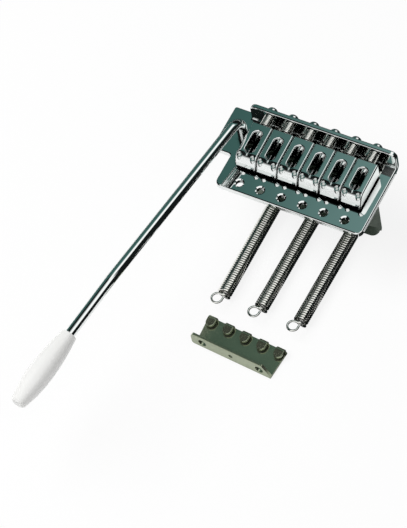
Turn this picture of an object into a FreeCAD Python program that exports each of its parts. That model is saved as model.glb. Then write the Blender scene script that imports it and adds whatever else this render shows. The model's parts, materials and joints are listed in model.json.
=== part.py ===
import FreeCAD
import Part
import math
import os

# Tremolo bridge with its arm, springs and spring claw, in millimetres.
# Origin: middle of the row of pivot holes, on the underside of the base plate.
# +X runs along the row away from the arm, +Y to the rear flange, +Z up.

V = FreeCAD.Vector
X_AXIS = V(1, 0, 0)
Y_AXIS = V(0, 1, 0)
Z_AXIS = V(0, 0, 1)

# Strings, whose middle lies a little nearer the arm than the middle of the pivot holes
string_count = 6
string_pitch = 10.8
string_offset = -0.57

# Fits and cuts
cut_overrun = 1.0
running_clearance = 0.06
shank_clearance = 0.3
seat_gap = 0.2

# Base plate, one bent sheet with an ear on the arm's side
plate_left = 37.9
plate_right = 37.3
plate_thickness = 2.5
plate_front = 4.8
plate_rear = 37.0
plate_corner_radius = 3.0
plate_edge_round = 0.7
ear_reach = 10.1
ear_front = 12.8
ear_rear = 37.9
ear_corner_radius = 1.0
notch_radius = 1.2
flange_rise = 10.0
flange_bend_radius = 1.0
flange_corner_radius = 3.2
pivot_hole_radius = 1.75
pivot_sink_radius = 2.4
pivot_sink_depth = 0.45
string_hole_setback = 21.0
plate_string_hole_radius = 2.1

# Tremolo block under the plate
block_height = 38.5
block_top_depth = 18.0
block_bottom_depth = 8.5
block_shoulder = 12.0
block_taper_height = 16.0
block_behind_arm = 4.0
block_beside_string = 4.17
block_edge_round = 3.4
block_string_hole_radius = 1.5
ledge_height = 1.5
ledge_depth = 5.0

# Countersunk screws that hold the block to the plate
block_screw_count = 3
block_screw_setback = 15.0
block_screw_spacing = 21.6
block_screw_radius = 2.0
block_screw_head_radius = 3.7
block_screw_length = 12.0
block_screw_head_height = 1.7
driver_slot_width = 0.8
driver_slot_depth = 0.8

# Saddles
saddle_gap = 0.4
saddle_length = 20.7
saddle_rear_height = 7.4
saddle_front_height = 6.5
saddle_lift = 1.7
saddle_nose_lift = 0.5
saddle_nose_lean = 2.4
saddle_nose_radius = 3.4
saddle_corner_radius = 0.6
saddle_edge_round = 0.7
slot_width = 4.5
slot_length = 12.2
slot_rear_wall = 3.8
slot_rim_round = 0.6
string_groove_radius = 0.45

# Intonation screws and their springs
intonation_gap = 6.4
intonation_rise = 6.6
intonation_screw_radius = 1.5
intonation_head_radius = 2.6
intonation_head_height = 2.1
intonation_tip_reach = 1.8
intonation_wire = 0.6
intonation_coil_radius = 2.2
intonation_turns = 3
cross_recess_width = 0.7
cross_recess_length = 3.0
cross_recess_depth = 1.1
head_rim_share = 0.33
head_shoulder_share = 0.72

# Height screws, two in each saddle
height_screw_radius = 1.25
height_screw_spacing = 6.8
height_screw_setback = 2.5
height_screw_length = 7.3
height_screw_tip_radius = 0.9
hex_socket_radius = 0.75
hex_socket_depth = 1.6

# Arm with its plastic tip
arm_radius = 2.5
arm_beside_string = 8.63
arm_setback = 23.0
arm_rise = 16.3
arm_bend_radius = 7.0
arm_length = 133.8
arm_splay = 8.4
arm_droop = 3.8
arm_droop_place = 100.0
arm_droop_radius = 80.0
arm_bore_depth = 18.0
arm_bottom_gap = 2.0
arm_stub_radius = 1.7
arm_stub_length = 15.0
tip_length = 39.9
tip_radius = 5.75
tip_neck_radius = 3.65
tip_end_radius = 3.3
tip_end_round = 1.8
tip_belly_share = 0.55

# Main springs
main_spring_yaws = [0.0, -1.0, -1.2]
main_spring_spacing = 20.4
spring_row_offset = -0.55
main_wire = 1.05
main_coil_radius = 3.0
main_coil_length = 54.5
main_turns = 24
main_loop_radius = 2.6
main_loop_lead = 2.3
main_loop_side = 1.1
main_floor_gap = 0.1
hook_setback = 3.0
hook_bend_radius = 1.4
hook_turn_radius = 1.6
hook_leg = 5.0
hook_coil_gap = 1.5
hook_sink_depth = 0.9
hook_sink_widening = 0.8
spring_hole_count = 5

# Spring claw, lying loose in front of the springs
claw_width = 42.4
claw_depth = 15.0
claw_thickness = 1.4
claw_taper = 2.0
claw_flange_height = 8.0
claw_flange_overhang = 0.2
claw_flange_corner = 2.6
claw_flange_slant = 4.0
claw_flange_edge_round = 0.5
claw_yaw = -4.7
claw_centre_x = -1.85
claw_rear_y = -51.85
claw_hook_count = 5
claw_hook_pitch = 9.2
claw_hook_offset = 0.3
claw_hook_width = 4.6
claw_hook_length = 5.6
claw_hook_thickness = 0.9
claw_hook_fall = 1.3
claw_hook_bend_radius = 1.6
claw_hook_edge_round = 0.4
claw_screw_spacing = 30.8
claw_screw_hole_radius = 2.1
claw_centre_hole_radius = 1.1
claw_hole_rise = 3.8

# Places that follow from the sizes above
flange_front = plate_rear - plate_thickness
flange_top = plate_thickness + flange_rise
bend_start = flange_front - flange_bend_radius
pivot_places = [(n - (string_count - 1) / 2) * string_pitch for n in range(string_count)]
string_places = [x + string_offset for x in pivot_places]
arm_x = string_places[0] - arm_beside_string
arm_z = plate_thickness + arm_rise
table_z = -block_height
saddle_width = string_pitch - saddle_gap
saddle_rear = flange_front - intonation_gap
saddle_nose = saddle_rear - saddle_length
saddle_bottom = plate_thickness + saddle_lift
saddle_top_rear = saddle_bottom + saddle_rear_height
saddle_top_front = saddle_bottom + saddle_front_height
slot_rear = saddle_rear - slot_rear_wall
slot_front = slot_rear - slot_length
intonation_z = plate_thickness + intonation_rise
height_screw_y = saddle_nose + height_screw_setback
block_rear = arm_setback + block_behind_arm
block_front_bottom = block_rear - block_bottom_depth
hook_hole_y = block_front_bottom + hook_setback
hook_hole_radius = main_wire / 2 + running_clearance
main_axis_z = table_z + main_floor_gap + main_wire / 2 + main_coil_radius
main_coil_rear = block_front_bottom - hook_coil_gap
main_pitch = main_coil_length / main_turns


def centred_places(count, spacing):
    """Places of evenly spaced copies about zero."""
    return [(n - (count - 1) / 2) * spacing for n in range(count)]


def rounded_wire(points, radii):
    """Closed wire through the points, each corner rounded by a tangent arc of its radius."""
    count = len(points)
    starts = []
    ends = []
    middles = []
    for n, corner in enumerate(points):
        back = points[n - 1] - corner
        ahead = points[(n + 1) % count] - corner
        back.normalize()
        ahead.normalize()
        half = back.getAngle(ahead) / 2
        reach = radii[n] / math.tan(half)
        starts.append(corner + back * reach)
        ends.append(corner + ahead * reach)
        inward = back + ahead
        if inward.Length > 0:
            inward.normalize()
        middles.append(corner + inward * (radii[n] / math.sin(half) - radii[n]))
    edges = []
    for n in range(count):
        if radii[n] > 0:
            edges.append(Part.Arc(starts[n], middles[n], ends[n]).toShape())
        following = starts[(n + 1) % count]
        if ends[n].distanceToPoint(following) > 0:
            edges.append(Part.LineSegment(ends[n], following).toShape())
    return Part.Wire(edges)


def prism(points, radii, along):
    """Solid swept straight from a rounded outline."""
    return Part.Face(rounded_wire(points, radii)).extrude(along)


def box(low, high):
    """Box between two corners."""
    size = high - low
    return Part.makeBox(size.x, size.y, size.z, low)


def drill(radius, start, along, length):
    """Round cutter that overruns both ends of its length."""
    begin = start - along * cut_overrun
    return Part.makeCylinder(radius, length + 2 * cut_overrun, begin, along)


def blind_drill(radius, floor, outward, depth):
    """Round cutter for a blind hole, from its floor to past its mouth."""
    return Part.makeCylinder(radius, depth + cut_overrun, floor, outward)


def cone_sink(small, large, depth, mouth, inward):
    """Countersink cutter with its large end at the mouth, carried on past the surface."""
    slope = (large - small) / depth
    begin = mouth - inward * cut_overrun
    return Part.makeCone(large + slope * cut_overrun, small, depth + cut_overrun, begin, inward)


def edges_where(shape, test):
    """Edges whose end points and middle all pass a test."""
    found = []
    for edge in shape.Edges:
        middle = edge.valueAt((edge.FirstParameter + edge.LastParameter) / 2)
        points = [vertex.Point for vertex in edge.Vertexes] + [middle]
        if all(test(point) for point in points):
            found.append(edge)
    return found


def near(first, second):
    """Whether two lengths agree within a small share of the running clearance."""
    return abs(first - second) < running_clearance / 10


def biarc(start, start_tangent, end, end_tangent):
    """Two arcs that meet smoothly and join two points with given directions."""
    chord = end - start
    spread = 2 * (1 - start_tangent.dot(end_tangent))
    lean = chord.dot(start_tangent + end_tangent)
    arm = (-lean + math.sqrt(lean * lean + spread * chord.dot(chord))) / spread
    first_corner = start + start_tangent * arm
    second_corner = end - end_tangent * arm
    joint = (first_corner + second_corner) * 0.5
    tangent = second_corner - first_corner
    tangent.normalize()
    first = tangent_arc(start, start_tangent, joint, tangent)
    return [first, tangent_arc(joint, tangent, end, end_tangent)]


def tangent_arc(start, start_tangent, end, end_tangent):
    """Arc from one point and direction to another on the same circle."""
    chord = end - start
    turn = start_tangent.getAngle(end_tangent)
    bulge = start_tangent - end_tangent
    bulge.normalize()
    middle = (start + end) * 0.5 + bulge * (chord.Length / 2 * math.tan(turn / 4))
    return Part.Arc(start, middle, end).toShape()


def line(start, end):
    """Straight edge between two points."""
    return Part.LineSegment(start, end).toShape()


def tube(edges, radius):
    """Round tube along a chain of tangent edges."""
    first = edges[0]
    start = first.valueAt(first.FirstParameter)
    direction = first.tangentAt(first.FirstParameter)
    section = Part.Wire(Part.makeCircle(radius, start, direction))
    return Part.Wire(edges).makePipeShell([section], True, False)


def helix_frame(axis_point, radius, pitch, angle, y):
    """Point and direction on a helix that winds about a line along Y, towards -Y."""
    outward = V(math.cos(angle), 0, math.sin(angle))
    point = V(axis_point.x, y, axis_point.z) + outward * radius
    tangent = V(-math.sin(angle) * radius, -pitch / (2 * math.pi), math.cos(angle) * radius)
    tangent.normalize()
    return point, tangent


def helix_edges(axis_point, radius, start_angle, start_y, quarter_pitches, first_flat, last_flat):
    """Helix as biarcs of a quarter turn each, with its own pitch in each quarter."""
    frames = []
    y = start_y
    count = len(quarter_pitches)
    for n in range(count + 1):
        before = quarter_pitches[max(n - 1, 0)]
        after = quarter_pitches[min(n, count - 1)]
        pitch = (before + after) / 2
        if (n == 0 and first_flat) or (n == count and last_flat):
            pitch = 0
        angle = start_angle + n * math.pi / 2
        frames.append(helix_frame(axis_point, radius, pitch, angle, y))
        if n < count:
            y -= quarter_pitches[n] / 4
    edges = []
    for (start, start_tangent), (end, end_tangent) in zip(frames, frames[1:]):
        edges += biarc(start, start_tangent, end, end_tangent)
    return edges


def least_gap(edges, wire):
    """Least clear gap of a wound wire to itself, measured on points along its middle line."""
    points = []
    travel = 0
    step = wire / 2
    for edge in edges:
        count = max(2, int(edge.Length / step))
        for n in range(count):
            place = travel + edge.Length * n / count
            parameter = edge.FirstParameter + (edge.LastParameter - edge.FirstParameter) * n / count
            points.append((place, edge.valueAt(parameter)))
        travel += edge.Length
    least = travel
    for n, (place, point) in enumerate(points):
        for other_place, other in points[n + 1:]:
            if other_place - place > wire * math.pi:
                least = min(least, point.distanceToPoint(other))
    return least - wire


def base_plate():
    """Flat sheet with an ear, bent up at the rear into a flange, with all its holes."""
    ear_left = plate_left + ear_reach
    outline = [
        V(plate_right, bend_start, 0),
        V(plate_right, -plate_front, 0),
        V(-plate_left, -plate_front, 0),
        V(-plate_left, ear_front, 0),
        V(-ear_left, ear_front, 0),
        V(-ear_left, ear_rear, 0),
        V(-plate_left, ear_rear, 0),
        V(-plate_left, bend_start, 0),
    ]
    corner, ear_corner = plate_corner_radius, ear_corner_radius
    radii = [0, corner, corner, notch_radius, ear_corner, ear_corner, 0, 0]
    sheet = prism(outline, radii, Z_AXIS * plate_thickness)
    rim = edges_where(sheet, lambda p: near(p.z, plate_thickness) and not on_bend(p))
    sheet = sheet.makeFillet(plate_edge_round, rim)
    plate = sheet.fuse(rear_flange()).removeSplitter()
    return plate.cut(plate_cutters())


def on_bend(point):
    """Whether a point of the sheet's outline lies where the flange joins it."""
    joins_front = near(point.y, bend_start)
    joins_side = near(point.x, -plate_left) and point.y > bend_start
    return joins_front or joins_side


def rear_flange():
    """Bent rear edge with rounded upper corners and rounded front and rear rims."""
    outer = flange_bend_radius + plate_thickness
    profile = [
        V(-plate_left, bend_start, 0),
        V(-plate_left, plate_rear, 0),
        V(-plate_left, plate_rear, flange_top),
        V(-plate_left, flange_front, flange_top),
        V(-plate_left, flange_front, plate_thickness),
        V(-plate_left, bend_start, plate_thickness),
    ]
    bent = prism(profile, [0, outer, 0, 0, flange_bend_radius, 0], X_AXIS * (plate_left + plate_right))
    face = [
        V(-plate_left, bend_start, 0),
        V(plate_right, bend_start, 0),
        V(plate_right, bend_start, flange_top),
        V(-plate_left, bend_start, flange_top),
    ]
    corner = flange_corner_radius
    front = prism(face, [0, 0, corner, corner], Y_AXIS * (plate_rear - bend_start))
    flange = bent.common(front)
    low = plate_thickness + flange_bend_radius
    rims = edges_where(flange, lambda p: p.z > low - running_clearance and near(p.y, flange_front))
    rims += edges_where(flange, lambda p: p.z > low - running_clearance and near(p.y, plate_rear))
    bends = edges_where(flange, lambda p: on_flange_end(p) and is_inner_bend(p, low))
    rims = [edge for edge in rims if edge.BoundBox.ZMax > low + running_clearance]
    return flange.makeFillet(plate_edge_round, rims + bends)


def on_flange_end(point):
    """Whether a point lies on the left or right end of the flange."""
    return near(point.x, -plate_left) or near(point.x, plate_right)


def is_inner_bend(point, low):
    """Whether a point lies on the inside curve of the flange's bend."""
    from_centre = V(0, point.y - bend_start, point.z - low).Length
    return point.y > bend_start - running_clearance and near(from_centre, flange_bend_radius)


def plate_cutters():
    """All holes of the base plate as one cutter."""
    cutters = []
    for x in pivot_places:
        cutters.append(drill(pivot_hole_radius, V(x, 0, 0), Z_AXIS, plate_thickness))
        mouth = V(x, 0, plate_thickness)
        cutters.append(cone_sink(pivot_hole_radius, pivot_sink_radius, pivot_sink_depth, mouth, -Z_AXIS))
    for x in string_places:
        cutters.append(drill(plate_string_hole_radius, V(x, string_hole_setback, 0), Z_AXIS, plate_thickness))
        hole = intonation_screw_radius + shank_clearance
        cutters.append(drill(hole, V(x, flange_front, intonation_z), Y_AXIS, plate_thickness))
    for x in centred_places(block_screw_count, block_screw_spacing):
        shank = block_screw_radius + running_clearance
        head = block_screw_head_radius + running_clearance
        cutters.append(drill(shank, V(x, block_screw_setback, 0), Z_AXIS, plate_thickness))
        mouth = V(x, block_screw_setback, plate_thickness)
        cutters.append(cone_sink(shank, head, block_screw_head_height, mouth, -Z_AXIS))
    arm_hole = arm_radius + running_clearance
    cutters.append(drill(arm_hole, V(arm_x, arm_setback, 0), Z_AXIS, plate_thickness))
    return cutters


def tremolo_block():
    """Tapered block with a round boss for the arm, string holes, screw holes and spring holes."""
    left = arm_x
    right = string_places[-1] + block_beside_string
    front_top = block_rear - block_top_depth
    ledge_rear = block_front_bottom + ledge_depth
    profile = [
        V(left, front_top, 0),
        V(left, block_rear, 0),
        V(left, block_rear, -block_height),
        V(left, ledge_rear, -block_height),
        V(left, ledge_rear, ledge_height - block_height),
        V(left, block_front_bottom, ledge_height - block_height),
        V(left, block_front_bottom, -block_shoulder - block_taper_height),
        V(left, front_top, -block_shoulder),
    ]
    block = prism(profile, [0] * len(profile), X_AXIS * (right - left))
    uprights = edges_where(block, lambda p: near(p.x, right) and near(p.y, block_rear))
    uprights += edges_where(block, lambda p: near(p.x, right) and near(p.y, block_front_bottom))
    foot = block_height - ledge_height - block_shoulder - block_taper_height
    block = block.makeFillet(min(block_edge_round, foot / 2), uprights)
    boss = Part.makeCylinder(block_behind_arm, block_height, V(arm_x, arm_setback, table_z), Z_AXIS)
    return block.fuse(boss).removeSplitter().cut(block_cutters())


def block_cutters():
    """All holes of the block as one list of cutters."""
    cutters = []
    bore_floor = V(arm_x, arm_setback, -arm_bore_depth)
    cutters.append(blind_drill(arm_radius + running_clearance, bore_floor, Z_AXIS, arm_bore_depth))
    for x in string_places:
        top = V(x, string_hole_setback, 0)
        cutters.append(drill(block_string_hole_radius, top, -Z_AXIS, block_height))
    for x in centred_places(block_screw_count, block_screw_spacing):
        shank = block_screw_radius + running_clearance
        depth = block_screw_length - plate_thickness + running_clearance
        cutters.append(blind_drill(shank, V(x, block_screw_setback, -depth), Z_AXIS, depth))
    ledge_z = ledge_height - block_height
    for x in centred_places(spring_hole_count, main_spring_spacing / 2):
        mouth = V(spring_row_offset + x - hook_turn_radius, hook_hole_y, ledge_z)
        depth = hook_bend_radius + hook_leg
        cutters.append(blind_drill(hook_hole_radius, mouth + Z_AXIS * depth, -Z_AXIS, depth))
        wide = hook_hole_radius + hook_sink_widening
        cutters.append(cone_sink(hook_hole_radius, wide, hook_sink_depth, mouth, Z_AXIS))
    return cutters


def block_screws():
    """Slotted countersunk screws through the plate into the block."""
    screws = []
    top = plate_thickness
    for x in centred_places(block_screw_count, block_screw_spacing):
        place = V(x, block_screw_setback, top)
        head = Part.makeCone(block_screw_radius, block_screw_head_radius, block_screw_head_height,
                             place - Z_AXIS * block_screw_head_height, Z_AXIS)
        shank_length = block_screw_length - block_screw_head_height
        foot = place - Z_AXIS * block_screw_length
        shank = Part.makeCylinder(block_screw_radius, shank_length, foot, Z_AXIS)
        slot = box(place + V(-block_screw_head_radius, -driver_slot_width / 2, -driver_slot_depth),
                   place + V(block_screw_head_radius, driver_slot_width / 2, cut_overrun))
        screws.append(head.fuse(shank).removeSplitter().cut(slot))
    return Part.makeCompound(screws)


def saddle(x):
    """Block saddle with a rounded nose, a string slot and three tapped holes."""
    left = x - saddle_width / 2
    profile = [
        V(left, saddle_rear, saddle_bottom),
        V(left, saddle_rear, saddle_top_rear),
        V(left, saddle_nose + saddle_nose_lean, saddle_top_front),
        V(left, saddle_nose, saddle_bottom + saddle_nose_lift),
        V(left, saddle_nose + saddle_nose_lean, saddle_bottom),
    ]
    radii = [0, saddle_corner_radius, saddle_nose_radius, 0, 0]
    body = prism(profile, radii, X_AXIS * saddle_width)
    sides = edges_where(body, lambda p: near(abs(p.x - x), saddle_width / 2) and is_saddle_top(p))
    slot, *holes = saddle_cutters(x)
    body = body.makeFillet(saddle_edge_round, sides).cut(slot)
    rim = edges_where(body, lambda p: is_saddle_top(p) and is_at_slot(p, x))
    return body.makeFillet(slot_rim_round, rim).cut(holes)


def is_saddle_top(point):
    """Whether a point lies in the upper part of a saddle."""
    return point.z > saddle_bottom + saddle_front_height / 2


def is_at_slot(point, x):
    """Whether a point lies within the outline of the string slot, or on it."""
    beside = abs(point.x - x) < slot_width / 2 + running_clearance
    return beside and slot_front - running_clearance < point.y < slot_rear + running_clearance


def saddle_cutters(x):
    """Slot, string groove and tapped holes of one saddle."""
    half = slot_width / 2
    low = saddle_bottom - cut_overrun
    outline = [V(x - half, slot_rear, low), V(x + half, slot_rear, low)]
    outline += [V(x + half, slot_front, low), V(x - half, slot_front, low)]
    corner = half - running_clearance
    slot = prism(outline, [corner] * len(outline), Z_AXIS * (saddle_rear_height + 2 * cut_overrun))
    tapped = intonation_screw_radius + running_clearance
    rear = drill(tapped, V(x, slot_rear, intonation_z), Y_AXIS, slot_rear_wall)
    groove_start = V(x, slot_front, saddle_top_front)
    groove = drill(string_groove_radius, groove_start, -Y_AXIS, slot_front - saddle_nose)
    cutters = [slot, rear, groove]
    for side in centred_places(2, height_screw_spacing):
        foot = V(x + side, height_screw_y, saddle_bottom)
        cutters.append(drill(height_screw_radius + running_clearance, foot, Z_AXIS, saddle_front_height))
    return cutters


def height_screws(x):
    """Pair of set screws that stand on the plate and carry the saddle's nose."""
    screws = []
    for side in centred_places(2, height_screw_spacing):
        foot = V(x + side, height_screw_y, plate_thickness + seat_gap)
        top = foot.z + height_screw_length
        outline = [V(foot.x, foot.y, foot.z), V(foot.x + height_screw_radius, foot.y, foot.z)]
        outline += [V(foot.x + height_screw_radius, foot.y, top), V(foot.x, foot.y, top)]
        stem = Part.Face(rounded_wire(outline, [0, height_screw_tip_radius, 0, 0])).revolve(foot, Z_AXIS)
        socket_floor = V(foot.x, foot.y, top - hex_socket_depth)
        corners = []
        for n in range(6):
            turn = n * math.pi / 3
            corners.append(socket_floor + V(math.cos(turn), math.sin(turn), 0) * hex_socket_radius)
        socket = prism(corners, [0] * len(corners), Z_AXIS * (hex_socket_depth + cut_overrun))
        screws.append(stem.cut(socket))
    return Part.makeCompound(screws)


def intonation_screw(x):
    """Round-headed screw through the flange into the saddle's rear wall."""
    seat = plate_rear + seat_gap
    tip = saddle_rear - slot_rear_wall - intonation_tip_reach
    shank = Part.makeCylinder(intonation_screw_radius, seat - tip, V(x, tip, intonation_z), Y_AXIS)
    rim = intonation_head_height * head_rim_share
    outline = [
        V(x, seat, intonation_z),
        V(x + intonation_head_radius, seat, intonation_z),
        V(x + intonation_head_radius, seat + rim, intonation_z),
    ]
    crown = V(x, seat + intonation_head_height, intonation_z)
    lift = rim + (intonation_head_height - rim) * head_shoulder_share
    shoulder = V(x + intonation_head_radius * head_shoulder_share, seat + lift, intonation_z)
    edges = [line(outline[0], outline[1]), line(outline[1], outline[2])]
    edges.append(Part.Arc(outline[2], shoulder, crown).toShape())
    edges.append(line(crown, outline[0]))
    head = Part.Face(Part.Wire(edges)).revolve(outline[0], Y_AXIS)
    screw = head.fuse(shank).removeSplitter()
    across = (cross_recess_length, cross_recess_width)
    for width, height in (across, across[::-1]):
        low = crown + V(-width / 2, -cross_recess_depth, -height / 2)
        screw = screw.cut(box(low, crown + V(width / 2, cut_overrun, height / 2)))
    return screw


def intonation_spring_edges(x):
    """Open coil round an intonation screw, its ends turned square to flange and saddle."""
    axis_point = V(x, 0, intonation_z)
    turn = intonation_wire + running_clearance
    ends = turn + intonation_wire + running_clearance
    start_y = flange_front - ends
    coil = intonation_gap - 2 * ends
    quarters = [coil / intonation_turns] * (4 * intonation_turns)
    edges = helix_edges(axis_point, intonation_coil_radius, 0, start_y, quarters, True, True)
    first = V(x + intonation_coil_radius, start_y, intonation_z)
    last = V(x + intonation_coil_radius, start_y - coil, intonation_z)
    entry = first + V(0, turn, -turn)
    leave = last + V(0, -turn, turn)
    start_edges = [line(entry + Y_AXIS * intonation_wire, entry), tangent_arc(entry, -Y_AXIS, first, Z_AXIS)]
    end_edges = [tangent_arc(last, Z_AXIS, leave, -Y_AXIS), line(leave, leave - Y_AXIS * intonation_wire)]
    return start_edges + edges + end_edges


def main_spring_edges(x):
    """Extension spring: a leg in the block, a hook under it, the coil and a flat loop at the far end."""
    axis_point = V(x, 0, main_axis_z)
    low = main_axis_z - main_coil_radius
    hook_x = x - hook_turn_radius
    leg_foot = V(hook_x, hook_hole_y, low + hook_bend_radius)
    run_start = V(hook_x, hook_hole_y - hook_bend_radius, low)
    run_end = V(hook_x, main_coil_rear + hook_turn_radius, low)
    coil_start = V(x, main_coil_rear, low)
    edges = [
        line(leg_foot + Z_AXIS * hook_leg, leg_foot),
        tangent_arc(leg_foot, -Z_AXIS, run_start, -Y_AXIS),
        line(run_start, run_end),
        tangent_arc(run_end, -Y_AXIS, coil_start, X_AXIS),
    ]
    quarters = [main_pitch] * (4 * main_turns) + [2 * main_loop_lead] * 2
    edges += helix_edges(axis_point, main_coil_radius, -math.pi / 2, main_coil_rear, quarters, True, True)
    loop_y = main_coil_rear - main_coil_length - main_loop_lead
    high = main_axis_z + main_coil_radius
    top = V(x, loop_y, high)
    loop_start = top - X_AXIS * main_loop_side
    centre = loop_start - Y_AXIS * main_loop_radius
    west = centre - X_AXIS * main_loop_radius
    south = centre - Y_AXIS * main_loop_radius
    east = centre + X_AXIS * main_loop_radius
    edges.append(line(top, loop_start))
    edges.append(tangent_arc(loop_start, -X_AXIS, west, -Y_AXIS))
    edges.append(tangent_arc(west, -Y_AXIS, south, X_AXIS))
    edges.append(tangent_arc(south, X_AXIS, east, Y_AXIS))
    edges.append(line(east, east + Y_AXIS * main_wire))
    return edges


def arm_course():
    """Directions of the arm's two runs, and the corner where the outer one starts to droop."""
    splay = math.radians(arm_splay)
    droop = math.radians(arm_droop)
    inner = V(-math.sin(splay), -math.cos(splay), 0)
    outer = inner * math.cos(droop) - Z_AXIS * math.sin(droop)
    corner = V(arm_x, arm_setback, arm_z) + inner * arm_droop_place
    return inner, outer, corner


def arm_end():
    """Place where the arm's rod ends and its tip begins."""
    inner, outer, corner = arm_course()
    return corner + outer * (arm_length - arm_droop_place)


def arm():
    """Bent rod that turns in the block's bore, with a thin stub inside the tip."""
    inner, outer, corner = arm_course()
    foot = V(arm_x, arm_setback, arm_bottom_gap - arm_bore_depth)
    bend_low = V(arm_x, arm_setback, arm_z - arm_bend_radius)
    bend_high = V(arm_x, arm_setback, arm_z) + inner * arm_bend_radius
    reach = arm_droop_radius * math.tan(math.radians(arm_droop) / 2)
    droop_start = corner - inner * reach
    droop_end = corner + outer * reach
    path = [
        line(foot, bend_low),
        tangent_arc(bend_low, Z_AXIS, bend_high, inner),
        line(bend_high, droop_start),
        tangent_arc(droop_start, inner, droop_end, outer),
        line(droop_end, arm_end()),
    ]
    rod = tube(path, arm_radius)
    stub = Part.makeCylinder(arm_stub_radius, arm_stub_length, arm_end(), outer)
    return rod.fuse(stub).removeSplitter()


def arm_tip():
    """Spindle-shaped plastic tip with a blind bore for the arm's stub."""
    start = V(0, 0, 0)
    neck = V(tip_neck_radius, 0, 0)
    belly = V(tip_radius, 0, tip_length * tip_belly_share)
    shoulder = V(tip_end_radius, 0, tip_length)
    end = V(0, 0, tip_length)
    edges = [
        line(start, neck),
        flank_arc(neck, belly),
        flank_arc(shoulder, belly),
        line(shoulder, end),
        line(end, start),
    ]
    tip = Part.Face(Part.Wire(Part.sortEdges(edges)[0])).revolve(start, Z_AXIS)
    rims = edges_where(tip, lambda p: near(p.z, tip_length) and near(V(p.x, p.y, 0).Length, tip_end_radius))
    tip = tip.makeFillet(tip_end_round, rims)
    depth = arm_stub_length + running_clearance
    tip = tip.cut(blind_drill(arm_stub_radius + running_clearance, Z_AXIS * depth, -Z_AXIS, depth))
    inner, outer, corner = arm_course()
    tip.Placement = FreeCAD.Placement(arm_end(), FreeCAD.Rotation(Z_AXIS, outer))
    return tip


def flank_arc(end, belly):
    """Arc from a thin end of the tip to its widest place, level where it arrives."""
    rise = belly.x - end.x
    run = abs(belly.z - end.z)
    radius = (rise * rise + run * run) / (2 * rise)
    turn = math.asin(run / radius) / 2
    side = 1 if end.z > belly.z else -1
    middle = V(belly.x - radius * (1 - math.cos(turn)), 0, belly.z + side * radius * math.sin(turn))
    return Part.Arc(end, middle, belly).toShape()


def spring_claw():
    """Steel claw: a flat plate with five folded hooks and an upright screw flange."""
    half = claw_width / 2
    front = -claw_depth
    outline = [V(-half, 0, 0), V(half, 0, 0), V(half, front, 0), V(claw_taper - half, front, 0)]
    plate = prism(outline, [0] * len(outline), Z_AXIS * claw_thickness)
    claw = plate.fuse(claw_flange(half, front))
    for x in centred_places(claw_hook_count, claw_hook_pitch):
        claw = claw.fuse(claw_hook(claw_hook_offset + x))
    claw = claw.removeSplitter()
    for x in centred_places(2, claw_screw_spacing):
        claw = claw.cut(claw_flange_drill(x, claw_screw_hole_radius))
    claw = claw.cut(claw_flange_drill(0, claw_centre_hole_radius))
    place = V(claw_centre_x, claw_rear_y, table_z)
    claw.Placement = FreeCAD.Placement(place, FreeCAD.Rotation(Z_AXIS, claw_yaw))
    return claw


def claw_flange(half, front):
    """Upright front edge, rounded at the arm's side and slanted off at the other."""
    left = -half - claw_flange_overhang
    corner = claw_flange_corner
    face = [
        V(left, front, 0),
        V(half, front, 0),
        V(half, front, claw_thickness),
        V(half - claw_flange_slant, front, claw_flange_height),
        V(left, front, claw_flange_height),
    ]
    flange = prism(face, [corner / 2, 0, 0, corner / 3, corner], Y_AXIS * claw_thickness)
    rear = front + claw_thickness
    section = [
        V(left, front, 0),
        V(left, rear, 0),
        V(left, rear, claw_flange_height),
        V(left, front, claw_flange_height),
    ]
    rim = claw_flange_edge_round
    return flange.common(prism(section, [0, 0, rim, rim], X_AXIS * (half - left)))


def claw_flange_drill(x, radius):
    """Cutter for a hole through the claw's flange."""
    return drill(radius, V(x, -claw_depth, claw_hole_rise), Y_AXIS, claw_thickness)


def claw_hook(x):
    """Tongue bent up from the rear edge and folded to the front, open there for a spring's loop."""
    thick = claw_hook_thickness
    slope = claw_hook_fall / claw_hook_length
    drop = thick * math.hypot(1, slope)
    tip = claw_thickness + main_wire + running_clearance
    top = tip + drop + claw_hook_fall
    front = -claw_hook_length
    half = claw_hook_width / 2
    left = x - half
    profile = [
        V(left, -thick, 0),
        V(left, 0, 0),
        V(left, 0, top),
        V(left, front, tip + drop),
        V(left, front, tip),
        V(left, -thick, top - drop - slope * thick),
    ]
    bend = claw_hook_bend_radius
    strip = prism(profile, [0, 0, bend, 0, 0, bend - thick], X_AXIS * claw_hook_width)
    corner = half - running_clearance
    outline = [V(left, cut_overrun, 0), V(x + half, cut_overrun, 0), V(x + half, front, 0), V(left, front, 0)]
    tongue = strip.common(prism(outline, [0, 0, corner, corner], Z_AXIS * (top + cut_overrun)))
    round_end = front + corner + running_clearance

    def on_rim(point):
        at_side = near(abs(point.x - x), half) or point.y < round_end
        return at_side and near(point.z, top + slope * point.y)

    return tongue.makeFillet(claw_hook_edge_round, edges_where(tongue, on_rim))


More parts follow.
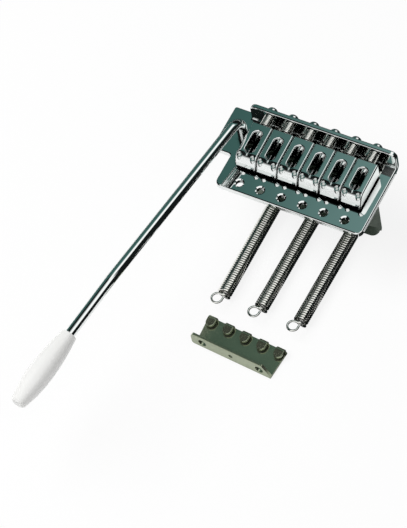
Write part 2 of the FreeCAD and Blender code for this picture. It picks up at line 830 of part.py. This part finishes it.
def build():
    """Every piece by the name of its node."""
    pieces = {
        "base_plate": base_plate(),
        "tremolo_block": tremolo_block(),
        "block_screws": block_screws(),
        "arm": arm(),
        "arm_tip": arm_tip(),
        "spring_claw": spring_claw(),
    }
    for n, x in enumerate(string_places, 1):
        pieces[f"saddle_{n}"] = saddle(x)
        pieces[f"height_screws_{n}"] = height_screws(x)
        pieces[f"intonation_screw_{n}"] = intonation_screw(x)
        edges = intonation_spring_edges(x)
        pieces[f"intonation_spring_{n}"] = tube(edges, intonation_wire / 2)
    print("intonation spring least gap", round(least_gap(edges, intonation_wire), 3))
    spring_places = centred_places(len(main_spring_yaws), main_spring_spacing)
    for n, (x, yaw) in enumerate(zip(spring_places, main_spring_yaws), 1):
        edges = main_spring_edges(spring_row_offset + x)
        spring = tube(edges, main_wire / 2)
        hook = V(spring_row_offset + x - hook_turn_radius, hook_hole_y, 0)
        spring.rotate(hook, Z_AXIS, yaw)
        pieces[f"main_spring_{n}"] = spring
    print("main spring least gap", round(least_gap(edges, main_wire), 3))
    return pieces


os.makedirs("parts", exist_ok=True)
for name, shape in build().items():
    print(name, shape.isValid(), len(shape.Solids), round(shape.Volume, 1))
    shape.exportStep(f"parts/{name}.step")
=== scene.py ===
import json
import math

import bpy
from mathutils import Matrix, Vector


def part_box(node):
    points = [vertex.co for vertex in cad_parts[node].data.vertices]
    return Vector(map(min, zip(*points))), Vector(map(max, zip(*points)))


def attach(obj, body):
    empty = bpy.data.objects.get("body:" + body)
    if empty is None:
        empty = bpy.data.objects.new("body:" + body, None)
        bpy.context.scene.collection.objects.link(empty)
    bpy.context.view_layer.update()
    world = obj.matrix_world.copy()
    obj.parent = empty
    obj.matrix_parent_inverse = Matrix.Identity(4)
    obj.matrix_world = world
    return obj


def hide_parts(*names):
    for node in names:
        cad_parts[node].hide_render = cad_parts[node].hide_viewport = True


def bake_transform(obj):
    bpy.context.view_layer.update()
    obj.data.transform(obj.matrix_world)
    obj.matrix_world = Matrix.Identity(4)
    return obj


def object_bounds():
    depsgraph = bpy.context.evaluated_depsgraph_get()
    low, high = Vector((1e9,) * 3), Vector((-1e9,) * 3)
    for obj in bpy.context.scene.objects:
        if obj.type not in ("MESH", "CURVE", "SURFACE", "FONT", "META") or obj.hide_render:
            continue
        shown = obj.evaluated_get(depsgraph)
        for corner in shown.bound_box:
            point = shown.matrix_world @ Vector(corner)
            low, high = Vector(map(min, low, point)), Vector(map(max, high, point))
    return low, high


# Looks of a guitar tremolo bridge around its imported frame, in metres.
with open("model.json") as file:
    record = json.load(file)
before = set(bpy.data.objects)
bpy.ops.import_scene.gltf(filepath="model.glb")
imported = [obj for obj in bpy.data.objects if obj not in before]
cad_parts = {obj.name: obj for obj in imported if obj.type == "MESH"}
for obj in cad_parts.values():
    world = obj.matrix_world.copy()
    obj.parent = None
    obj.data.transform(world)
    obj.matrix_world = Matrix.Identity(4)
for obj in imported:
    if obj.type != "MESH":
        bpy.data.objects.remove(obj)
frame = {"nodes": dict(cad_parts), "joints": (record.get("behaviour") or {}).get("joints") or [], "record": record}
cad_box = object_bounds()
nodes = frame["nodes"]
record = frame["record"]

X_AXIS = Vector((1, 0, 0))
Y_AXIS = Vector((0, 1, 0))
Z_AXIS = Vector((0, 0, 1))

# Camera at the photograph's viewing angle; angles in degrees, lens and sensor in millimetres
camera_target = Vector((-0.02336, -0.04452, 0.0))
camera_distance = 1.491
camera_azimuth = 38.56
camera_elevation = 56.95
camera_roll = -13.68
camera_lens = 223.2
camera_sensor = 36.0

# Soft lamps that face the camera's target
key_softbox = {"azimuth": -70.0, "elevation": 60.0, "distance": 1.2, "width": 0.9, "height": 0.9,
               "radiance": 4.9}
fill_softbox = {"azimuth": 60.0, "elevation": 50.0, "distance": 1.3, "width": 1.2, "height": 1.2,
                "radiance": 0.9}

# World: its strength where it is seen, and as light on everything else
pure_white = (1, 1, 1, 1)
world_seen = 1.0
world_light = 0.2

# Floor, and the share of white that the camera sees on it
floor_radius = 8.0
floor_corners = 96
floor_gap = 0.00005
floor_paper = (0.97, 0.97, 0.97, 1)
floor_glow = 0.85

# Dark cards beside, under and behind the object, which show in polished metal
flag_x = 0.1
flag_height = 0.06
flag_ends = (-0.4, 0.5)
mat_sides = (-0.024, 0.1)
mat_ends = ((-0.055, -0.0268), (-0.0238, 0.02))
rear_mat_sides = (-0.4, 0.3)
rear_mat_ends = (0.055, 0.6)

# Room that shows in polished metal, and the colours of room and cards
dome_radius = 4.0
dome_segments = 96
dome_rings = 48
room_black = (0.008, 0.010, 0.010, 1)
room_white = (1.1, 1.1, 1.1, 1)
room_teal = (0.046, 0.112, 0.102, 1)
room_light_teal = (0.145, 0.250, 0.238, 1)
room_ceiling = (0.20, 0.25, 0.25, 1)
room_rear = (0.040, 0.068, 0.064, 1)

# Extents in the room as shares of its radius: sides along X, ends along Y, rise and fall along Z
wall_ends = (0.31, 0.78)
wall_edge = 0.02
wall_fade = (0.75, 0.45)
teal_turn = (-0.36, -0.28)
side_edge = 0.03
end_edge = 0.04
overhead_sides = (-0.08, 0.47)
overhead_ends = (-0.06, 0.68)
ahead_sides = (-0.27, 0.47)
ahead_ends = (-0.92, -0.02)
right_sides = (0.44, 0.76)
right_ends = (-0.92, 0.20)
right_rise = (0.30, 0.45)
low_sides = (-0.46, 0.38)
low_side_edge = 0.04
low_start = (-0.60, -0.68)
low_fall = (0.8, 0.1)
ceiling_rise = (0.965, 0.985)

# Finishes: tones, roughness from smooth to rough, the scales of the noises that vary them, and the colour of
# painted shade in recesses
plating = {"dark": (0.82, 0.85, 0.84, 1), "light": (0.88, 0.90, 0.89, 1), "rough": (0.02, 0.06),
           "grain": 600, "painted_shade_colour": (0.03, 0.03, 0.03, 1)}
grains_in_cloud = 8
fine_detail = 6.0
relief_height = 0.0001
plastic_dark = (0.86, 0.86, 0.84, 1)
plastic_light = (0.91, 0.91, 0.90, 1)
plastic_rough = (0.16, 0.26)
plastic_cloud = 90
plastic_grain = 700
coating_dark = (0.088, 0.122, 0.090, 1)
coating_light = (0.132, 0.172, 0.132, 1)
coating_rough = (0.35, 0.55)
coating_cloud = 160
coating_grain = 2500
coating_relief = 0.2
coating_bare = 0.4

# How far the painted shade in the recesses of plated pieces and springs reaches
painted_shade_reach = 0.006
painted_shade_samples = 8

# Strings, counted from the arm's side
string_count = 6

# Wound pieces; yaws in degrees
main_wire = 0.00105
main_coil_radius = 0.0030
main_coil_length = 0.0545
main_turns = 46
main_floor_gap = 0.0001
main_yaws = [0.0, -1.0, -1.2]
main_loop_radius = 0.0026
main_loop_lead = 0.0023
main_loop_side = 0.0011
hook_leg = 0.005
hook_bend_radius = 0.0014
hook_turn_radius = 0.0016
hook_run = 0.0045
intonation_wire = 0.0006
intonation_coil_radius = 0.0022
intonation_turns = 8

# Threads of the screws
intonation_thread = 0.00014
intonation_thread_radius = 0.0014
intonation_thread_lead = 0.0005
height_thread = 0.00012
height_thread_radius = 0.00116
height_thread_lead = 0.00045

# Fineness of wires: steps in one turn or one bend, and the roundness of their section
coil_steps = 24
thread_steps = 20
hook_steps = 8
loop_steps = 30
wire_roundness = 3
thread_roundness = 1


def link(piece):
    """Puts a new object into the scene."""
    bpy.context.scene.collection.objects.link(piece)


def direction(azimuth, elevation):
    """Unit vector from the object to a place given as the camera's angles are, in degrees."""
    a, e = math.radians(azimuth), math.radians(elevation)
    return Vector((math.sin(a) * math.cos(e), -math.cos(a) * math.cos(e), math.sin(e)))


def facing(back):
    """Turn of a camera or lamp that stands in that direction and looks at the object."""
    return (-back).to_track_quat("-Z", "Y").to_matrix().to_4x4()


def add_camera():
    """Camera that looks at its target, turned about its own axis."""
    back = direction(camera_azimuth, camera_elevation)
    data = bpy.data.cameras.new("camera")
    data.lens = camera_lens
    data.sensor_width = camera_sensor
    camera = bpy.data.objects.new("camera", data)
    turned = facing(back) @ Matrix.Rotation(math.radians(camera_roll), 4, "Z")
    camera.matrix_world = Matrix.Translation(camera_target + back * camera_distance) @ turned
    link(camera)
    bpy.context.scene.camera = camera


def add_softbox(name, azimuth, elevation, distance, width, height, radiance):
    """Soft lamp that faces the object; polished metal shows the room instead of it."""
    data = bpy.data.lights.new(name, "AREA")
    data.shape = "RECTANGLE"
    data.size = width
    data.size_y = height
    data.energy = radiance * math.pi * width * height
    lamp = bpy.data.objects.new(name, data)
    back = direction(azimuth, elevation)
    lamp.matrix_world = Matrix.Translation(camera_target + back * distance) @ facing(back)
    lamp.visible_glossy = False
    link(lamp)


class Graph:
    """Short way to add nodes and links to a material or world."""

    def __init__(self, owner):
        owner.use_nodes = True
        self.tree = owner.node_tree
        self.tree.nodes.clear()

    def add(self, kind, properties=None, **inputs):
        """New node; each input is a value, or the output socket that feeds it."""
        node = self.tree.nodes.new(kind)
        for name, value in (properties or {}).items():
            setattr(node, name, value)
        for name, value in inputs.items():
            self.feed(node, name.replace("_", " "), value)
        return node

    def feed(self, node, name, value):
        """Sets or links the input with that name, or with that number."""
        socket = node.inputs[int(name)] if name.isdigit() else node.inputs[name]
        if isinstance(value, bpy.types.NodeSocket):
            self.tree.links.new(value, socket)
        else:
            socket.default_value = value

    def math(self, operation, first, second):
        """Math node of two numbers or sockets."""
        node = self.add("ShaderNodeMath", {"operation": operation})
        self.feed(node, "0", first)
        self.feed(node, "1", second)
        return node.outputs[0]

    def smooth(self, value, low, high):
        """Soft step from 0 at low to 1 at high."""
        node = self.add("ShaderNodeMapRange", {"interpolation_type": "SMOOTHSTEP"})
        self.feed(node, "Value", value)
        self.feed(node, "From Min", low)
        self.feed(node, "From Max", high)
        return node.outputs["Result"]

    def band(self, value, low, high, edge):
        """1 between low and high with soft edges, otherwise 0."""
        rise = self.smooth(value, low - edge, low + edge)
        fall = self.smooth(value, high + edge, high - edge)
        return self.math("MULTIPLY", rise, fall)

    def between(self, value, low, high):
        """Straight scale of a 0 to 1 value to a range."""
        node = self.add("ShaderNodeMapRange")
        self.feed(node, "Value", value)
        self.feed(node, "To Min", low)
        self.feed(node, "To Max", high)
        return node.outputs["Result"]

    def noise(self, scale, detail=4.0, stretch=(1, 1, 1)):
        """Noise in the object's own coordinates."""
        place = self.add("ShaderNodeTexCoord").outputs["Object"]
        mapped = self.add("ShaderNodeMapping", Vector=place, Scale=stretch).outputs["Vector"]
        node = self.add("ShaderNodeTexNoise", Vector=mapped, Scale=scale, Detail=detail)
        return node.outputs["Fac"]

    def blend(self, factor, first, second):
        """Mix of two colours by a factor."""
        node = self.add("ShaderNodeMix", {"data_type": "RGBA"})
        self.feed(node, "0", factor)
        self.feed(node, "6", first)
        self.feed(node, "7", second)
        return node.outputs[2]

    def background_ray(self):
        """1 on camera, glossy and transmission rays, otherwise 0."""
        path = self.add("ShaderNodeLightPath").outputs
        seen = self.math("MAXIMUM", path["Is Camera Ray"], path["Is Glossy Ray"])
        return self.math("MAXIMUM", seen, path["Is Transmission Ray"])

    def glow(self, colour):
        """Emission of a colour at strength 1."""
        return self.add("ShaderNodeEmission", Color=colour, Strength=1.0)

    def surface(self, shader):
        """Output of a material with that shader."""
        self.add("ShaderNodeOutputMaterial", Surface=shader.outputs[0])


def new_material(name):
    """Empty material and its graph."""
    material = bpy.data.materials.new(name)
    return material, Graph(material)


def add_world():
    """White world behind the floor, and a low plain light on everything else."""
    world = bpy.data.worlds.new("studio")
    bpy.context.scene.world = world
    graph = Graph(world)
    strength = graph.between(graph.background_ray(), world_light, world_seen)
    shader = graph.add("ShaderNodeBackground", Color=pure_white, Strength=strength)
    graph.add("ShaderNodeOutputWorld", Surface=shader.outputs[0])


def add_floor():
    """Pale floor that keeps a soft shadow of the object."""
    bpy.ops.mesh.primitive_circle_add(vertices=floor_corners, radius=floor_radius, fill_type="NGON")
    floor = bpy.context.object
    floor.name = "floor"
    floor.location.z = cad_box[0].z - floor_gap
    material, graph = new_material("floor_paper")
    paper = graph.add("ShaderNodeBsdfDiffuse", Color=floor_paper)
    glow = graph.glow(pure_white)
    camera_ray = graph.add("ShaderNodeLightPath").outputs["Is Camera Ray"]
    share = graph.math("MULTIPLY", camera_ray, floor_glow)
    inputs = {"0": share, "1": paper.outputs[0], "2": glow.outputs[0]}
    graph.surface(graph.add("ShaderNodeMixShader", **inputs))
    floor.data.materials.append(material)


def only_in_metal(piece):
    """Lets a stage piece show in glossy reflections and nowhere else."""
    for ray in ("camera", "diffuse", "transmission", "volume_scatter", "shadow"):
        setattr(piece, f"visible_{ray}", False)


def panel(graph, axes, sides, ends):
    """1 on a panel of the room with soft edges, otherwise 0."""
    across = graph.band(axes["X"], *sides, side_edge)
    along = graph.band(axes["Y"], *ends, end_edge)
    return graph.math("MULTIPLY", across, along)


def room_colour(graph, axes):
    """Dark room with a teal wall behind, four white panels and a grey patch straight up."""
    x, y, z = axes["X"], axes["Y"], axes["Z"]
    wall = graph.math("MULTIPLY", graph.band(y, *wall_ends, wall_edge), graph.smooth(x, *wall_fade))
    teal = graph.blend(graph.smooth(x, *teal_turn), room_teal, room_light_teal)
    overhead = panel(graph, axes, overhead_sides, overhead_ends)
    ahead = panel(graph, axes, ahead_sides, ahead_ends)
    right = panel(graph, axes, right_sides, right_ends)
    right = graph.math("MULTIPLY", right, graph.smooth(z, *right_rise))
    low = graph.math("MULTIPLY", graph.smooth(y, *low_start), graph.smooth(z, *low_fall))
    low = graph.math("MULTIPLY", low, graph.band(x, *low_sides, low_side_edge))
    white = graph.math("MAXIMUM", overhead, ahead)
    white = graph.math("MAXIMUM", white, graph.math("MAXIMUM", right, low))
    sides = graph.blend(white, graph.blend(wall, room_black, teal), room_white)
    return graph.blend(graph.smooth(z, *ceiling_rise), sides, room_ceiling)


def add_room():
    """Studio room over the floor, which only shows in polished metal."""
    bpy.ops.mesh.primitive_uv_sphere_add(segments=dome_segments, ring_count=dome_rings,
                                         radius=dome_radius)
    dome = bpy.context.object
    dome.name = "studio_room"
    material, graph = new_material("studio_room")
    place = graph.add("ShaderNodeTexCoord").outputs["Object"]
    unit = graph.add("ShaderNodeVectorMath", {"operation": "NORMALIZE"})
    graph.feed(unit, "0", place)
    axes = graph.add("ShaderNodeSeparateXYZ", Vector=unit.outputs[0]).outputs
    graph.surface(graph.glow(room_colour(graph, axes)))
    dome.data.materials.append(material)
    only_in_metal(dome)


def add_card(name, colour, corners):
    """Plain four-cornered card, which only shows in polished metal."""
    mesh = bpy.data.meshes.new(name)
    mesh.from_pydata(corners, [], [(0, 1, 2, 3)])
    card = bpy.data.objects.new(name, mesh)
    link(card)
    material, graph = new_material(name)
    graph.surface(graph.glow(colour))
    mesh.materials.append(material)
    only_in_metal(card)


def add_mat(name, colour, sides, ends):
    """Card on the floor."""
    left, right = sides
    near, far = ends
    corners = [(left, near), (right, near), (right, far), (left, far)]
    add_card(name, colour, [(x, y, cad_box[0].z) for x, y in corners])


def add_cards():
    """Card standing to the right of the object, and mats under its springs and behind it."""
    low = cad_box[0].z
    near, far = flag_ends
    corners = [(near, low), (far, low), (far, flag_height), (near, flag_height)]
    add_card("dark_flag", room_black, [(flag_x, y, z) for y, z in corners])
    for n, ends in enumerate(mat_ends, 1):
        add_mat(f"dark_mat_{n}", room_black, mat_sides, ends)
    add_mat("rear_mat", room_rear, rear_mat_sides, rear_mat_ends)


def metal(name, dark, light, rough, grain, stretch=(1, 1, 1), bump=0.0, painted_shade_colour=None, painted_shade_openness=None,
          bare=1.0):
    """Metal varied by two noises in tone, roughness and relief; painted shade darkens its recesses."""
    material, graph = new_material(name)
    cloud = graph.noise(grain / grains_in_cloud)
    fine = graph.noise(grain, fine_detail, stretch)
    colour = graph.blend(cloud, dark, light)
    # Painted shade: the colour turns dark where ambient occlusion finds a recess, in slots, gaps and under parts
    if painted_shade_colour:
        occlusion = graph.add("ShaderNodeAmbientOcclusion", {"samples": painted_shade_samples},
                              Distance=painted_shade_reach)
        colour = graph.blend(graph.smooth(occlusion.outputs["AO"], *painted_shade_openness), painted_shade_colour, colour)
    roughness = graph.between(fine, *rough)
    shader = graph.add("ShaderNodeBsdfPrincipled", Base_Color=colour, Roughness=roughness,
                       Metallic=bare)
    if bump > 0:
        relief = graph.add("ShaderNodeBump", Strength=bump, Distance=relief_height, Height=fine)
        graph.feed(shader, "Normal", relief.outputs[0])
    graph.surface(shader)
    return material


def white_plastic():
    """Glossy white moulded plastic with a faint cloudiness."""
    material, graph = new_material("white_plastic")
    colour = graph.blend(graph.noise(plastic_cloud), plastic_dark, plastic_light)
    roughness = graph.between(graph.noise(plastic_grain), *plastic_rough)
    graph.surface(graph.add("ShaderNodeBsdfPrincipled", Base_Color=colour, Roughness=roughness))
    return material


def dark_coating():
    """Dark satin coating on a cast block, worn lighter in places."""
    material, graph = new_material("dark_coating")
    colour = graph.blend(graph.noise(coating_cloud), coating_dark, coating_light)
    fine = graph.noise(coating_grain)
    roughness = graph.between(fine, *coating_rough)
    relief = graph.add("ShaderNodeBump", Strength=coating_relief, Distance=relief_height,
                       Height=fine)
    graph.surface(graph.add("ShaderNodeBsdfPrincipled", Base_Color=colour, Roughness=roughness,
                            Metallic=coating_bare, Normal=relief.outputs[0]))
    return material


def finishes():
    """One material for each slot of the record, and one for the plate whose painted shade reaches wider."""
    return {
        # The plate's painted shade spreads wider around the parts that stand on it
        "base_plate": metal("plate_chrome", **plating, painted_shade_openness=(0.45, 0.75)),
        "chrome": metal("chrome", **plating, painted_shade_openness=(0.2, 0.5)),
        "screw_steel": metal(
            "screw_steel", dark=(0.74, 0.75, 0.74, 1), light=(0.84, 0.85, 0.84, 1),
            rough=(0.06, 0.12), grain=1200),
        # Painted shade between the springs' windings darkens their recesses
        "spring_steel": metal(
            "spring_steel", dark=(0.84, 0.84, 0.79, 1), light=(0.95, 0.95, 0.91, 1),
            rough=(0.04, 0.10), grain=1500, painted_shade_colour=(0.12, 0.12, 0.10, 1), painted_shade_openness=(0.1, 0.4)),
        "claw_steel": metal(
            "claw_steel", dark=(0.29, 0.33, 0.23, 1), light=(0.37, 0.41, 0.29, 1),
            rough=(0.10, 0.18), grain=900, stretch=(0.15, 1, 1), bump=0.1, bare=0.88),
        "block": dark_coating(),
        "white_plastic": white_plastic(),
    }


def dress_nodes(materials):
    """Gives each carried-over solid its own finish, or else that of its slot."""
    for part in record["subparts"]:
        node = nodes[part["node"]]
        node.data.materials.clear()
        slot = part["material_slot"]
        node.data.materials.append(materials.get(part["node"], materials[slot]))


def arc(centre, radius, first, second, turn, count):
    """Points on an arc that starts along the first direction and turns towards the second."""
    angles = [turn * n / count for n in range(count + 1)]
    steps = [(radius * math.cos(a), radius * math.sin(a)) for a in angles]
    return [centre + first * u + second * v for u, v in steps]


def helix(centre, radius, first, second, along, turns, lead, steps=coil_steps):
    """Points on a helix about a line; first and second span its circle."""
    points = []
    for n in range(round(turns * steps) + 1):
        angle = 2 * math.pi * n / steps
        outward = first * math.cos(angle) + second * math.sin(angle)
        points.append(centre + outward * radius + along * (lead * n / steps))
    return points


def wire_mesh(materials, name, points, radius, slot, roundness=wire_roundness):
    """Closed round wire along the points, as a mesh object."""
    curve = bpy.data.curves.new(name + "_line", "CURVE")
    curve.dimensions = "3D"
    curve.bevel_depth = radius
    curve.bevel_resolution = roundness
    curve.use_fill_caps = True
    spline = curve.splines.new("POLY")
    spline.points.add(len(points) - 1)
    for place, point in zip(spline.points, points):
        place.co = (*point, 1.0)
    line = bpy.data.objects.new(name + "_line", curve)
    link(line)
    bpy.context.view_layer.update()
    evaluated = line.evaluated_get(bpy.context.evaluated_depsgraph_get())
    mesh = bpy.data.meshes.new_from_object(evaluated)
    bpy.data.objects.remove(line)
    for polygon in mesh.polygons:
        polygon.use_smooth = True
    piece = bpy.data.objects.new(name, mesh)
    link(piece)
    mesh.materials.clear()
    mesh.materials.append(materials[slot])
    return piece


def main_spring_points():
    """Close-wound spring from its hook, whose leg is on the Z axis, to its far loop."""
    low = cad_box[0].z + main_floor_gap + main_wire / 2
    middle = low + main_coil_radius
    high = middle + main_coil_radius
    quarter = math.pi / 2
    bend_centre = Vector((0, -hook_bend_radius, low + hook_bend_radius))
    points = [bend_centre + Y_AXIS * hook_bend_radius + Z_AXIS * hook_leg]
    points += arc(bend_centre, hook_bend_radius, Y_AXIS, -Z_AXIS, quarter, hook_steps)
    turn_centre = Vector((hook_turn_radius, -hook_run + hook_turn_radius, low))
    points += arc(turn_centre, hook_turn_radius, -X_AXIS, -Y_AXIS, quarter, hook_steps)
    pitch = main_coil_length / main_turns
    axis_start = Vector((hook_turn_radius, -hook_run, middle))
    points += helix(axis_start, main_coil_radius, -Z_AXIS, X_AXIS, -Y_AXIS, main_turns, pitch)[1:]
    axis_end = axis_start - Y_AXIS * main_coil_length
    half_turn = 0.5
    points += helix(axis_end, main_coil_radius, -Z_AXIS, X_AXIS, -Y_AXIS, half_turn,
                    2 * main_loop_lead)[1:]
    top = axis_end - Y_AXIS * main_loop_lead
    loop_centre = Vector((top.x - main_loop_side, top.y - main_loop_radius, high))
    points += arc(loop_centre, main_loop_radius, Y_AXIS, -X_AXIS, 3 * quarter, loop_steps)
    points.append(points[-1] + Y_AXIS * main_wire)
    return points


def add_main_springs(materials):
    """The three springs, each turned about its hook as it lies."""
    places = [j for j in frame["joints"] if j["name"].startswith("spring_swing_")]
    for n, (joint, yaw) in enumerate(zip(places, main_yaws), 1):
        hook = Vector((joint["pos_m"][0], joint["pos_m"][1], 0))
        place = Matrix.Translation(hook) @ Matrix.Rotation(math.radians(yaw), 4, "Z")
        points = [place @ point for point in main_spring_points()]
        spring = wire_mesh(materials, f"coil_spring_{n}", points, main_wire / 2, "spring_steel")
        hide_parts(f"main_spring_{n}")
        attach(spring, f"main_spring_{n}")


def add_intonation_springs(materials):
    """Coils on the intonation screws, each fixed where its carried-over spring stood."""
    for n in range(1, string_count + 1):
        low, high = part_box(f"intonation_spring_{n}")
        middle = (low + high) / 2
        start = Vector((middle.x, high.y - intonation_wire / 2, middle.z))
        length = high.y - low.y - intonation_wire
        points = helix(start, intonation_coil_radius, X_AXIS, Z_AXIS, -Y_AXIS, intonation_turns,
                       length / intonation_turns)
        spring = wire_mesh(materials, f"saddle_spring_{n}", points, intonation_wire / 2,
                           "spring_steel")
        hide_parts(f"intonation_spring_{n}")
        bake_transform(spring)


def add_threads(materials):
    """Raised threads on the intonation and height screws."""
    for n in range(1, string_count + 1):
        low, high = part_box(f"intonation_screw_{n}")
        start = Vector(((low.x + high.x) / 2, low.y + intonation_thread, (low.z + high.z) / 2))
        turns = int((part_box("base_plate")[1].y - start.y) / intonation_thread_lead)
        points = helix(start, intonation_thread_radius, X_AXIS, -Z_AXIS, Y_AXIS, turns,
                       intonation_thread_lead, thread_steps)
        thread = wire_mesh(materials, f"intonation_thread_{n}", points, intonation_thread,
                           "screw_steel", thread_roundness)
        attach(thread, f"intonation_screw_{n}")
        low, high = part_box(f"height_screws_{n}")
        radius = (high.y - low.y) / 2
        turns = int((high.z - low.z - 2 * radius) / height_thread_lead)
        for side, x in (("left", low.x + radius), ("right", high.x - radius)):
            start = Vector((x, low.y + radius, low.z + radius))
            points = helix(start, height_thread_radius, X_AXIS, Y_AXIS, Z_AXIS, turns,
                           height_thread_lead, thread_steps)
            thread = wire_mesh(materials, f"height_thread_{n}_{side}", points, height_thread,
                               "screw_steel", thread_roundness)
            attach(thread, f"height_screws_{n}")


scene = bpy.context.scene
scene.view_settings.view_transform = "Standard"
add_camera()
add_world()
add_floor()
add_room()
add_cards()
add_softbox("key_softbox", **key_softbox)
add_softbox("fill_softbox", **fill_softbox)
materials = finishes()
dress_nodes(materials)
add_main_springs(materials)
add_intonation_springs(materials)
add_threads(materials)
